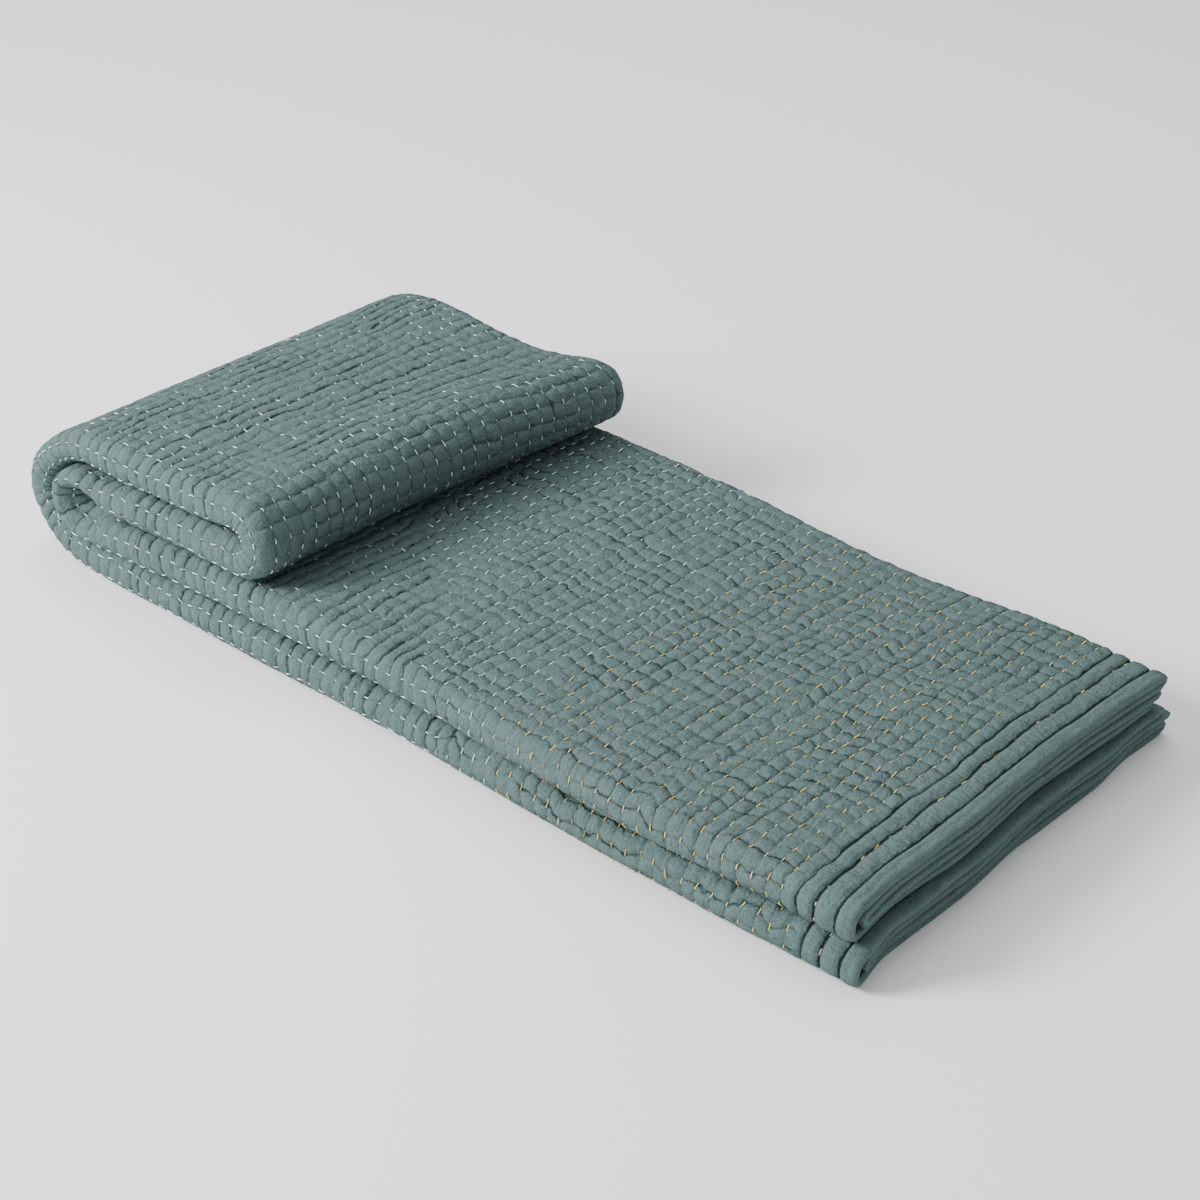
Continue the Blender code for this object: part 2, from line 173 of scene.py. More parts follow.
INNER_HALF = 0.0030  # the cloth's inner face, from its middle
INNER_PUFF = 0.3  # depth of the creases in it, as a share of the outer ones
ROLL_HALF = 0.0038  # the inner face in the roll along a hem
HEM_WAVER, WAVER_FIELD = 0.0013, (12, 0.05, 1.0)  # how far a layer's hem wavers
WAVER_ROWS, WAVER_REACH = (6.0, 12.0), (0.25, 0.0)  # where the two hems read that field; how far in
STITCH_LENGTH = 0.0067  # thread that shows in one stitch
STITCH_SHARES = (0.6, 1.2)  # the shortest and the longest, as shares of it
SIDE_STITCH_SHARE = 0.90  # the same in rows along a side edge
MIN_STRETCH = 0.55  # no stitch is shortened below this share in a tight turn
STITCH_SLANT = 0.15  # against its row at most, as a slope
STITCH_STRAY = 0.0010  # ahead of its place or behind it at most
STITCH_RADIUS = 0.00037
STITCH_RINGS = ((-0.5, 0.45), (-0.30, 1.0), (0.0, 1.05), (0.30, 1.0), (0.5, 0.45))  # place, thickness
STITCH_SIDES = 5
STITCH_RISE, STITCH_DIP = 0.0006, 0.0007  # above the cloth at its middle, below it at its ends
STITCH_SINK = (-0.0012, 0.0004)  # a stitch lies this far deeper or higher than that
NOSE_RISE = 0.0007  # and so much higher around a fold's nose
HEM_SINK, RIDGE_SINK = 0.0008, 0.0006  # or deeper beside a hem, and between the flap's ridges
PATCH_SINK, PATCH_FIELD = 0.0005, (13, 0.10, 0.07)  # or deeper and higher from place to place

# ---- the mesh's density
PARTS = (0.0, 0.12, 0.50, 0.88)  # points between two lines: close to a crease
FINE = len(PARTS)
HIDDEN_STRIDE = 2 * FINE  # fine steps to a face that doesn't show, where it is flat
HEM_SHOWS = 0.014  # every layer shows this far from its hem
NEAR_SHOWS, FAR_SHOWS = (-0.014, 0.024), (-0.020, 0.014)  # cloth shows from before a fold to past it
TURN_SHOWS, FLAP_SHOWS = (-0.11, 0.24), 0.45  # the same at the outer turn, and past it to the flap's end
COVERED_X = -0.640  # what lies further left there, or on the upper lobe, is covered
TURN_PER_STEP = 0.035  # radians in a fine step, above which all are kept
RIM_ANGLES = (45, 0, -45)  # degrees around an edge's rounding
RIM_BULGE = 0.9  # of an edge's rounding, as a share of half the thickness
SEED = 11


def smooth(start, end, x):
    """0 before start, 1 after end and a cubic ease between."""
    t = np.clip((x - start) / (end - start), 0.0, 1.0)
    return t * t * (3 - 2 * t)


def bump(x, centre, width):
    """A bell of height 1 at centre, falling to 1/e at width."""
    return np.exp(-((x - centre) / width) ** 2)


def bumps(x, table):
    """Sum of the bells in a table with the columns height, centre, width."""
    return sum(height * bump(x, centre, width) for height, centre, width in table)


def steps(x, table):
    """Sum of the eased steps in a table with the columns height, start, end."""
    return sum(height * smooth(start, end, x) for height, start, end in table)


def arc(centre_x, centre_z, radius, start, end, count, squeeze):
    """Rows of a round turn, from one angle to another in degrees."""
    angles = np.radians(np.linspace(start, end, count))
    return [(centre_x + radius * np.cos(a), centre_z + radius * np.sin(a), squeeze) for a in angles]


def spline(rows, count):
    """Cubic curve through rows; its slope at a row is that of the chord across its neighbours."""
    rows = np.array(rows)
    lengths = np.linalg.norm(np.diff(rows[:, :2], axis=0), axis=1)
    knots = np.concatenate([[0.0], np.cumsum(lengths)])
    slopes = np.gradient(rows, axis=0) / np.gradient(knots)[:, None]
    at = np.linspace(0.0, knots[-1], count)
    i = np.clip(np.searchsorted(knots, at, side="right") - 1, 0, len(lengths) - 1)
    h = lengths[i, None]
    t = (at[:, None] - knots[i, None]) / h
    return ((1 + 2 * t) * (1 - t) ** 2 * rows[i] + t * (1 - t) ** 2 * h * slopes[i]
            + t * t * (3 - 2 * t) * rows[i + 1] + t * t * (t - 1) * h * slopes[i + 1])


def along(points):
    """Length along a fine polyline, at each of its points."""
    return np.concatenate([[0.0], np.cumsum(np.linalg.norm(np.diff(points, axis=0), axis=1))])


def unit(vectors):
    """The same directions with length 1."""
    return vectors / np.linalg.norm(vectors, axis=-1, keepdims=True)


def band_curve():
    """Middle of the band: its points and squeeze on a fine curve, in the XZ plane."""
    rows = [(x, Z_LOW, 1.0) for x in LOW_RUN_X]
    rows += OUTER_TURN
    rows += arc(FLAP_END_X, Z_SECOND + FLAP_END_RADIUS, FLAP_END_RADIUS, 90, -90, 13, 1.0)
    rows += SECOND_RUN
    rows += arc(INNER_TURN_X, Z_INNER + INNER_TURN_RADIUS, INNER_TURN_RADIUS, 90, 270, 15, INNER_SQUEEZE)
    rows += [(x, Z_INNER, INNER_RUN_SQUEEZE if x < LOW_RUN_X[-2] else 1.0) for x in reversed(LOW_RUN_X)]
    return spline(rows, BAND_FINE)


def section_pieces():
    """Runs and turns across the cloth, as fine points with the columns y, depth beyond y, height."""
    def run(start_y, end_y, layer):
        return np.linspace((start_y, 0.0, layer * PITCH), (end_y, 0.0, layer * PITCH), PIECE_FINE)

    def turn(middle_y, layer, radius, start, end, fullness):
        angle = np.radians(np.linspace(start, end, PIECE_FINE))
        round_y, round_z = (np.sign(w) * np.abs(w) ** fullness for w in (np.cos(angle), np.sin(angle)))
        height = layer * PITCH + radius * round_z
        return np.column_stack([np.full(PIECE_FINE, middle_y), radius * round_y, height])

    inner_y = NEAR_TURN_Y + INNER_SET_BACK
    return (
        run(LOW_EDGE_Y, NEAR_TURN_Y, -1.5),
        turn(NEAR_TURN_Y, 0.0, HALF_BAND, -90, -270, NEAR_TURN_FULLNESS),
        run(NEAR_TURN_Y, FAR_TURN_Y, 1.5),
        turn(FAR_TURN_Y, 1.0, PITCH / 2, 90, -90, 1.0),
        run(FAR_TURN_Y, inner_y, 0.5),
        turn(inner_y, 0.0, PITCH / 2, 90, 270, 1.0),
        run(inner_y, HIGH_EDGE_Y, -0.5),
    )


BAND = band_curve()
U_FINE = along(BAND[:, :2])
LENGTH = U_FINE[-1]
TANGENT = unit(np.gradient(BAND[:, :2], U_FINE, axis=0))
NORMAL = np.column_stack([-TANGENT[:, 1], TANGENT[:, 0]])
PIECES = section_pieces()
SECTION = np.vstack([PIECES[0]] + [piece[1:] for piece in PIECES[1:]])
OUTLINE = np.column_stack([SECTION[:, 0] + SECTION[:, 1], SECTION[:, 2]])
V_FINE = along(OUTLINE)
V_ENDS = V_FINE[[0] + list(np.cumsum([len(piece) - 1 for piece in PIECES]))]
WIDTH = V_FINE[-1]
U_OUTER = U_FINE[np.argmin(BAND[:, 0])]
U_INNER = U_FINE[np.argmin(np.where(U_FINE > LENGTH / 2, BAND[:, 0], 0.0))]
U_FLAP_END = U_FINE[np.argmax(np.where((U_FINE > U_OUTER) & (U_FINE < U_INNER), BAND[:, 0], -1.0))]


def fold(u, v):
    """Middle of the cloth at u and v: the section across it, carried along the band's curve."""
    x, z, squeeze = (np.interp(u, U_FINE, BAND[:, k]) for k in range(3))
    normal_x, normal_z = (np.interp(u, U_FINE, NORMAL[:, k]) for k in range(2))
    run_y, depth, height = (np.interp(v, V_FINE, SECTION[:, k]) for k in range(3))
    height = height * squeeze
    return np.stack([x + normal_x * height, run_y + depth * squeeze, z + normal_z * height], axis=-1)


def settle(points, u, v):
    """The uneven lie of the stack: wavering folds, a skewed flap, skewed hems and soft dips."""
    x, y, z = points[..., 0], points[..., 1], points[..., 2]
    across = y / BAND_WIDTH
    low = smooth(LEFT_U + TURN_IN_U, LEFT_U, u)
    top = smooth(LENGTH - LEFT_U - TURN_IN_U, LENGTH - LEFT_U, u)
    flap = smooth(*FLAP_START, u - U_OUTER) * smooth(*FLAP_STOP, u - U_INNER)

    folds = bumps(x, NEAR_FOLD_BULGES) * (1 - across) + bumps(x, FAR_FOLD_BULGES) * across
    settled_y = y + folds * (top + LOW_SHARE * low) + bumps(x, FLAP_FAR_BULGES) * across * flap
    settled_y += steps(x, LOW_FAR_SPREAD) * across * low
    settled_y += bumps(u - U_INNER, INNER_TURN_BULGE) * (1 - smooth(*INNER_TURN_REACH, y))
    from_axis_x = (x - INNER_TURN_X) * np.where(x > INNER_TURN_X, HOLLOW_STRETCH, 1.0)
    from_axis = np.hypot(from_axis_x, z - Z_INNER - INNER_TURN_RADIUS)
    settled_y += HOLLOW_DEPTH * smooth(*HOLLOW_RADIUS, from_axis) * smooth(*HOLLOW_REACH, y)

    slip = np.interp(v, V_ENDS, LAYER_SLIP)
    hems = top * (steps(y, TOP_HEM_SKEW) - slip)
    hems += low * (LOW_HEM_OUT + steps(y, LOW_HEM_SKEW) - LAYER_SLIP[0] + slip)
    settled_x = x + hems * smooth(*HEM_REACH, x) + steps(y, FLAP_END_SKEW) * smooth(*FLAP_END_REACH, x) * flap

    dip = bumps(x, STACK_DIP) * smooth(*STACK_DIP_REACH, y)
    flap_droop = bumps(x, FLAP_FAR_DROOP) * smooth(*FLAP_FAR_REACH, y) + steps(x, FLAP_LEFT_DROOP)
    hem_droop = steps(x, HEM_FAR_DROOP) * smooth(*HEM_FAR_REACH, y)
    droop = flap_droop * smooth(Z_INNER + LOBE / 2, Z_TOP, z) + hem_droop * smooth(0.0, Z_INNER, z)
    settled_z = np.maximum(z * (1 - dip) - droop, 0.0)
    return np.stack([settled_x - MIDDLE[0], settled_y - MIDDLE[1], settled_z], axis=-1)


def cloth_frame(u, v):
    """Middle of the unsettled cloth, and its unit directions along u, along v and outwards."""
    step = 0.0004
    middle = fold(u, v)
    along_u = unit(fold(np.minimum(u + step, LENGTH), v) - fold(np.maximum(u - step, 0), v))
    along_v = unit(fold(u, np.minimum(v + step, WIDTH)) - fold(u, np.maximum(v - step, 0)))
    return middle, along_u, along_v, unit(np.cross(along_u, along_v))


def drift(field, x, y):
    """A smooth random field from -1 to 1: seeded values on a grid, joined by a cubic ease."""
    cells, (seed, size_x, size_y) = 256, field
    values = np.random.default_rng(SEED + seed).uniform(-1.0, 1.0, (cells + 1, cells + 1))
    x, y = x / size_x, y / size_y
    i, j = np.floor(x).astype(int), np.floor(y).astype(int)
    fx, fy = smooth(0.0, 1.0, x - i), smooth(0.0, 1.0, y - j)
    i, j = i % cells, j % cells
    low = values[i, j] * (1 - fx) + values[i + 1, j] * fx
    high = values[i, j + 1] * (1 - fx) + values[i + 1, j + 1] * fx
    return low * (1 - fy) + high * fy


def drifts(table, x, y):
    """Sum of the fields in a table with the columns height, seed, size along x, size along y."""
    return sum(height * drift(field, x, y) for height, *field in table)


def spaced(start, end, pitch):
    """Evenly spaced lines after start and up to end, as near to pitch as fits."""
    return np.linspace(start, end, int(round((end - start) / pitch)) + 1)[1:]


def lines_along():
    """Stitched lines from one hem to the other: hem lines, rows, and creases along the lobes.

    The creases are spaced on the outermost layer. Where the band turns, that layer is longer than the
    band's middle, so they lie closer in u.
    """
    half = np.concatenate([HEM_LINES, spaced(HEM_LINES[-1], FRAME_DEPTH, ROW_PITCH)])
    heading = np.unwrap(np.arctan2(TANGENT[:, 1], TANGENT[:, 0]))
    stretch = 1 - np.gradient(heading, U_FINE) * HALF_BAND * BAND[:, 2]
    length = np.concatenate([[0.0], np.cumsum(np.diff(U_FINE) * np.maximum(stretch, 1.0)[1:])])
    start, end = np.interp([FRAME_DEPTH, LENGTH - FRAME_DEPTH], U_FINE, length)
    middle = np.interp(spaced(start, end, TURN_PITCH)[:-1], length, U_FINE)
    return np.concatenate([half, middle, LENGTH - half[::-1]])


def lines_across():
    """Stitched lines from one side edge to the other."""
    half = np.array(HEM_LINES)
    middle = spaced(half[-1], WIDTH - half[-1], CROSS_PITCH)[:-1]
    return np.concatenate([half, middle, WIDTH - half[::-1]])


LINES_U, LINES_V = lines_along(), lines_across()
COUNT_S, COUNT_T = len(LINES_U) - 1, len(LINES_V) - 1
ROW_SHIFTS = np.random.default_rng(SEED).uniform(-ROW_SHIFT, ROW_SHIFT, COUNT_S + 1)


def from_hem(u):
    """Distance to the nearer hem."""
    return np.minimum(u, LENGTH - u)


def from_side(v):
    """Distance to the nearer side edge."""
    return np.minimum(v, WIDTH - v)


def zone_by_hem(u, v):
    """1 where the rows follow a hem, 0 where they follow a side edge, with a soft mitre between."""
    return smooth(-MITRE, MITRE, from_side(v) - from_hem(u))


def around_flap_end(u):
    """1 on the turn at the flap's end, falling to 0 beside it."""
    return bump(u, U_FLAP_END, FLAP_NOSE)


def wandered(u, v):
    """Lengths on the flat cloth, moved so that straight rows and creases wander.

    They wander less at the flap's end. Where rows follow a hem, each row's stitches are shifted against
    the next one's, so the creases from stitch to stitch step sideways at each row.
    """
    by_hem = zone_by_hem(u, v)
    creases = drifts(CREASE_BENDS, u, v) * (1 - FLAP_END_EASE * around_flap_end(u))
    shifts = np.interp(u, LINES_U, ROW_SHIFTS) + SLANT * drift(SLANT_FIELD, u, v)
    wander_u = by_hem * drifts(HEM_ROW_BENDS, u, v) + (1 - by_hem) * creases
    wander_v = by_hem * CROSS_PITCH * shifts + (1 - by_hem) * drifts(SIDE_ROW_BENDS, u, v)
    return u + smooth(*EDGE_HOLD, from_hem(u)) * wander_u, v + smooth(*EDGE_HOLD, from_side(v)) * wander_v


def line_number(length, lines):
    """Number of the stitched line at a length on the flat cloth, with parts between lines."""
    return np.interp(length, lines, np.arange(len(lines)))


def puff(x):
    """0 at a whole number and 1 halfway between two: a full, round puff between two creases."""
    f = x - np.floor(x)
    return (4 * f * (1 - f)) ** CREASE_POWER


def edge_puff(x, count):
    """The same, but the first and last puff keep full at the cloth's edge."""
    rolled = (x < 0.5) | (x > count - 0.5)
    return np.where(rolled, EDGE_PUFF + (1 - EDGE_PUFF) * puff(x), puff(x))


def around_nose(v):
    """1 on the nose of a near or far fold, falling to 0 beside it."""
    near, far = (V_ENDS[1] + V_ENDS[2]) / 2, (V_ENDS[3] + V_ENDS[4]) / 2
    return bump(v, near, NEAR_NOSE) + bump(v, far, FAR_NOSE)


def crease_depth(shape, deep, between):
    """Depth of a crease, from its shape, where it is deep and where it lies between stitches."""
    least, more, ease = shape
    return (least + more * deep) * (1 - ease * between)


def crease_depths(u, v):
    """Depths from 0 to 1 of the creases along v and along u.

    Each crease is deep at its stitches and for a few puffs only. It is shallow around a fold's nose, and
    deep where the inner turn draws the cloth in.
    """
    by_hem, flap_end = zone_by_hem(u, v), around_flap_end(u)
    hem, side = (smooth(*HEM_FADE, distance) for distance in (from_hem(u), from_side(v)))
    between = puff(line_number(v, LINES_V)), puff(line_number(u, LINES_U))
    deep = [smooth(*step, drift(field, u, v)) for field, step in DEEP_FIELDS]
    rows_s, rows_t = (crease_depth(*row) for row in zip(HEM_CREASES, deep, between))
    ridges_s, ridges_t = (crease_depth(*row) for row in zip(SIDE_CREASES, deep, between))
    depth_s = by_hem * rows_s + (1 - by_hem) * ridges_s * (1 - FLAP_END_SHALLOW * flap_end)
    depth_t = by_hem * rows_t + (1 - by_hem) * (ridges_t + FLAP_END_DEEP * flap_end)
    depth, width_u, width_v = DRAWN_IN
    drawn_in = depth * bump(u, U_INNER, width_u) * bump(v, V_ENDS[2], width_v)
    depth_s = np.maximum(depth_s * (1 - NOSE_EASE * around_nose(v)), drawn_in)
    depth_s = depth_s * hem + (1 - hem) * crease_depth(LINE_CREASES, deep[0], between[0])
    return depth_s, hem * (side * depth_t + 1 - side)


def quilting(u, v):
    """Height of the cloth from 0 in a crease to 1 on a puff: a product of puffs both ways.

    Beside the hems no crease crosses the rows, and fine wrinkles run across instead.
    """
    s, t = line_number(u, LINES_U), line_number(v, LINES_V)
    depth_s, depth_t = crease_depths(u, v)
    height = (1 - depth_s * (1 - edge_puff(s, COUNT_S))) * (1 - depth_t * (1 - edge_puff(t, COUNT_T)))
    size = 1 - PUFF_VARIES * (1 - drift(PUFF_FIELD, u, v))
    hem, side = (smooth(*HEM_FADE[::-1], distance) for distance in (from_hem(u), from_side(v)))
    wrinkles = drift(HEM_WRINKLES, u, v) * hem + drift(SIDE_WRINKLES, u, v) * side
    return height * (size + WRINKLE * wrinkles)


def laid(points, u, v):
    """The settled place of unsettled points, with a slight waver of every layer's hem."""
    settled = settle(points, u, v)
    waver = HEM_WAVER * drift(WAVER_FIELD, v, np.where(u < LENGTH / 2, *WAVER_ROWS))
    settled[..., 0] += waver * smooth(*WAVER_REACH, from_hem(u))
    return settled


def outer_surface(u, v, depth, lift=0.0):
    """Points of the quilted outer face, raised by lift along its normal; depth is that of a deep crease."""
    height = quilting(u, v)
    u, v = wandered(u, v)
    middle, _, _, outwards = cloth_frame(u, v)
    half = CLOTH / 2 + PUFF_PROUD - depth * (1 - height) + lift
    return laid(middle + outwards * half[..., None], u, v)


def inner_surface(u, v, depth):
    """Points of the inner face, which lies against the next layer: shallow puffs only."""
    height = quilting(u, v)
    u, v = wandered(u, v)
    middle, _, _, outwards = cloth_frame(u, v)
    roll = (ROLL_HALF - INNER_HALF) * smooth(HEM_LINES[1], HEM_LINES[1] / 2, from_hem(u))
    half = INNER_HALF + roll - INNER_PUFF * depth * (1 - height)
    return laid(middle - outwards * half[..., None], u, v)


def rim_surface(u, v, away_u, away_v, angle, depth):
    """Points around the rounding of the cloth's edge; away is the direction out of the cloth."""
    height = quilting(u, v)
    middle, along_u, along_v, outwards = cloth_frame(u, v)
    top = CLOTH / 2 + PUFF_PROUD - depth * (1 - height)
    bottom = np.where(from_hem(u) < from_side(v), ROLL_HALF, INNER_HALF)
    half = np.where(angle > 0, top, bottom) * math.sin(math.radians(angle))
    away = along_u * away_u[:, None] + along_v * away_v[:, None]
    bulge = RIM_BULGE * CLOTH / 2 * math.cos(math.radians(angle))
    return laid(middle + outwards * half[..., None] + away * bulge, u, v)


# ---- which parts of the cloth show
def shows(u, v):
    """True where the outer face shows: folds, the flap, the top of the upper lobe and the hems."""
    near = (v > V_ENDS[1] + NEAR_SHOWS[0]) & (v < V_ENDS[2] + NEAR_SHOWS[1])
    far = (v > V_ENDS[3] + FAR_SHOWS[0]) & (v < V_ENDS[4] + FAR_SHOWS[1])
    top = (v > V_ENDS[2]) & (v < V_ENDS[3])
    open_x = np.interp(u, U_FINE, BAND[:, 0]) > COVERED_X
    turn = (u > U_OUTER + TURN_SHOWS[0]) & (u < U_OUTER + TURN_SHOWS[1])
    flap = (u > U_OUTER) & (u < U_OUTER + FLAP_SHOWS) & open_x
    upper = (u > LENGTH - LEFT_U) & open_x
    hems = from_hem(u) < HEM_SHOWS
    return near | far | hems | (top & (turn | flap | upper))


def kept_steps(fine, turned):
    """Numbers of the fine steps that faces which don't show keep: all of them only where it turns."""
    turns = np.abs(np.diff(np.interp(fine, *turned))) > TURN_PER_STEP
    keep = np.zeros(len(fine), bool)
    keep[::HIDDEN_STRIDE] = keep[[0, FINE, -1 - FINE, -1]] = True
    keep[:-1] |= turns
    keep[1:] |= turns
    return np.nonzero(keep)[0]


def turned_by(u, x, y):
    """Angle turned along a fine curve, as a table of length and radians."""
    heading = np.unwrap(np.arctan2(np.gradient(y, u), np.gradient(x, u)))
    return u, np.concatenate([[0.0], np.cumsum(np.abs(np.diff(heading)))])


def fine_lengths(lines):
    """Lengths of all fine steps: the same parts between each two lines."""
    inner = lines[:-1, None] + np.diff(lines)[:, None] * np.array(PARTS)
    return np.append(inner.ravel(), lines[-1])


def block_corners(rows, columns):
    """Fine-step numbers of each coarse block's four sides: low and high row, low and high column."""
    i, j = np.meshgrid(np.arange(len(rows) - 1), np.arange(len(columns) - 1), indexing="ij")
    return (a.ravel() for a in (rows[i], rows[i + 1], columns[j], columns[j + 1]))


def walk(low_i, high_i, low_j, high_j, used, width):
    """Each block's outline as point numbers, with those points only that some face uses as a corner.

    The four sides are walked in turn, each in at most HIDDEN_STRIDE steps. Returns all the points in one
    row, and how many each face has.
    """
    step = np.arange(HIDDEN_STRIDE)
    di, dj = (high_i - low_i)[:, None], (high_j - low_j)[:, None]
    low_i, high_i, low_j, high_j = (a[:, None] for a in (low_i, high_i, low_j, high_j))
    zero = 0 * step
    i = np.hstack([low_i + step, high_i + zero, high_i - step, low_i + zero])
    j = np.hstack([low_j + zero, low_j + step, high_j + zero, high_j - step])
    on = np.hstack([step < di, step < dj] * 2)
    i, j = np.where(on, i, low_i), np.where(on, j, low_j)
    on &= used[i, j]
    return (i * width + j)[on], on.sum(axis=1)


def cloth_faces(fine_u, fine_v):
    """Polygons of the outer and the inner side, as point numbers and corner counts.

    A block between kept steps is one polygon, or is cut into all its fine steps where the cloth shows. A
    block beside a finer one takes that one's points into its own outline, so the skin is closed.
    """
    rows = kept_steps(fine_u, turned_by(U_FINE, *BAND[:, :2].T))
    columns = kept_steps(fine_v, turned_by(V_FINE, *OUTLINE.T))
    count_i, count_j = len(fine_u), len(fine_v)
    low_i, high_i, low_j, high_j = block_corners(rows, columns)
    seen = shows((fine_u[low_i] + fine_u[high_i]) / 2, (fine_v[low_j] + fine_v[high_j]) / 2)

    block_i = np.searchsorted(rows, np.arange(count_i - 1), side="right") - 1
    block_j = np.searchsorted(columns, np.arange(count_j - 1), side="right") - 1
    fine = seen.reshape(len(rows) - 1, len(columns) - 1)[np.ix_(block_i, block_j)]
    used = np.zeros((count_i, count_j), bool)
    used[np.ix_(rows, columns)] = True
    for di in (0, 1):
        for dj in (0, 1):
            used[di:count_i - 1 + di, dj:count_j - 1 + dj] |= fine

    fi, fj = np.nonzero(fine)
    outer = [walk(fi, fi + 1, fj, fj + 1, used, count_j),
             walk(*(a[~seen] for a in (low_i, high_i, low_j, high_j)), used, count_j)]
    inner_used = np.zeros_like(used)
    inner_used[[0, -1]], inner_used[:, [0, -1]] = used[[0, -1]], used[:, [0, -1]]
    inner_used[np.ix_(rows, columns)] = True
    return outer, walk(low_i, high_i, low_j, high_j, inner_used, count_j), used


def ring_of_edge(used):
    """Fine-step numbers of the used points around the cloth's edge, in order, and the way out of it."""
    last_i, last_j = used.shape[0] - 1, used.shape[1] - 1
    up_i, up_j = np.nonzero(used[:, 0])[0], np.nonzero(used[-1])[0]
    down_i, down_j = np.nonzero(used[:, -1])[0][::-1], np.nonzero(used[0])[0][::-1]
    sides = ((up_i, 0 * up_i), (0 * up_j + last_i, up_j), (down_i, 0 * down_i + last_j), (0 * down_j, down_j))
    i, j = (np.concatenate([side[k][:-1] for side in sides]) for k in (0, 1))
    away_i, away_j = ((at == last) * 1.0 - (at == 0) for at, last in ((i, last_i), (j, last_j)))
    size = np.hypot(away_i, away_j)
    return i, j, away_i / size, away_j / size


def mesh_from(name, points, corners, sizes):
    """A mesh from arrays of points, face corners and corner counts."""
    mesh = bpy.data.meshes.new(name)
    mesh.vertices.add(len(points))
    mesh.vertices.foreach_set("co", np.ascontiguousarray(points, np.float32).ravel())
    mesh.loops.add(len(corners))
    mesh.loops.foreach_set("vertex_index", corners.astype(np.int32))
    mesh.polygons.add(len(sizes))
    mesh.polygons.foreach_set("loop_start", (np.cumsum(sizes) - sizes).astype(np.int32))
    mesh.update(calc_edges=True)
    mesh.shade_smooth()
    return mesh


def flipped(corners, sizes):
    """The same faces with each one's corners in reverse order."""
    ends = np.cumsum(sizes)
    starts, lasts = np.repeat(ends - sizes, sizes), np.repeat(ends - 1, sizes)
    return corners[lasts - (np.arange(len(corners)) - starts)]


def cloth_mesh(depth):
    """The quilt's one closed skin, with its crease numbers and depths as UV maps on every face corner."""
    fine_u, fine_v = fine_lengths(LINES_U), fine_lengths(LINES_V)
    outer_faces, (inner_points, inner_sizes), used = cloth_faces(fine_u, fine_v)
    grid_u, grid_v = np.meshgrid(fine_u, fine_v, indexing="ij")
    outer, inner = (face(grid_u, grid_v, depth).reshape(-1, 3) for face in (outer_surface, inner_surface))
    i, j, away_u, away_v = ring_of_edge(used)
    ring_u, ring_v = fine_u[i], fine_v[j]
    rims = [rim_surface(ring_u, ring_v, away_u, away_v, angle, depth) for angle in RIM_ANGLES]

    total, ring = len(outer), len(i)
    edge_numbers = i * len(fine_v) + j
    rings = np.array([edge_numbers] + [2 * total + k * ring + np.arange(ring) for k in range(len(rims))]
                     + [total + edge_numbers])
    onwards = np.roll(rings, -1, axis=1)
    strip = np.stack([rings[:-1], rings[1:], onwards[1:], onwards[:-1]], axis=-1).reshape(-1)
    faces = outer_faces + [(flipped(inner_points + total, inner_sizes), inner_sizes),
                           (strip, np.full(len(strip) // 4, 4))]
    corners, sizes = (np.concatenate(part) for part in zip(*faces))
    points = np.vstack([outer, inner] + rims)

    flat_u, flat_v = (np.concatenate([face.ravel()] * 2 + [edge] * len(rims))
                      for face, edge in ((grid_u, ring_u), (grid_v, ring_v)))
    s, t = line_number(flat_u, LINES_U), line_number(flat_v, LINES_V)
    kept, new_corners = np.unique(corners, return_inverse=True)
    mesh = mesh_from("quilt_cloth", points[kept], new_corners, sizes)
    for name, pair in (("creases", (s, t)), ("depths", crease_depths(flat_u, flat_v))):
        layer = mesh.uv_layers.new(name=name)
        layer.uv.foreach_set("vector", np.column_stack(pair)[corners].astype(np.float32).ravel())
    return mesh


# ---- stitches
def stitch_places():
    """Lengths u and v of every stitch's middle, where two lines cross; True where its row follows a hem."""
    u, v = (a.ravel() for a in np.meshgrid(LINES_U[1:-1], LINES_V[1:-1], indexing="ij"))
    hem, side = from_hem(u), from_side(v)
    row = np.minimum(hem, side)
    bare = (row < HEM_LINES[1] + LINE_NEAR) | (np.abs(row - HEM_LINES[3]) < LINE_NEAR)
    bare |= np.abs(hem - side) < MITRE_BARE
    return u[~bare], v[~bare], (side > hem)[~bare]


def stretch(u, v, direction_u, direction_v):
    """How much longer the outer face is than the flat cloth, along a direction on it."""
    reach = 0.002
    before, after = (middle + outwards * CLOTH / 2 for middle, _, _, outwards in (
        cloth_frame(u + way * direction_u, v + way * direction_v) for way in (-reach, reach)))
    return np.linalg.norm(after - before, axis=-1) / (2 * reach)


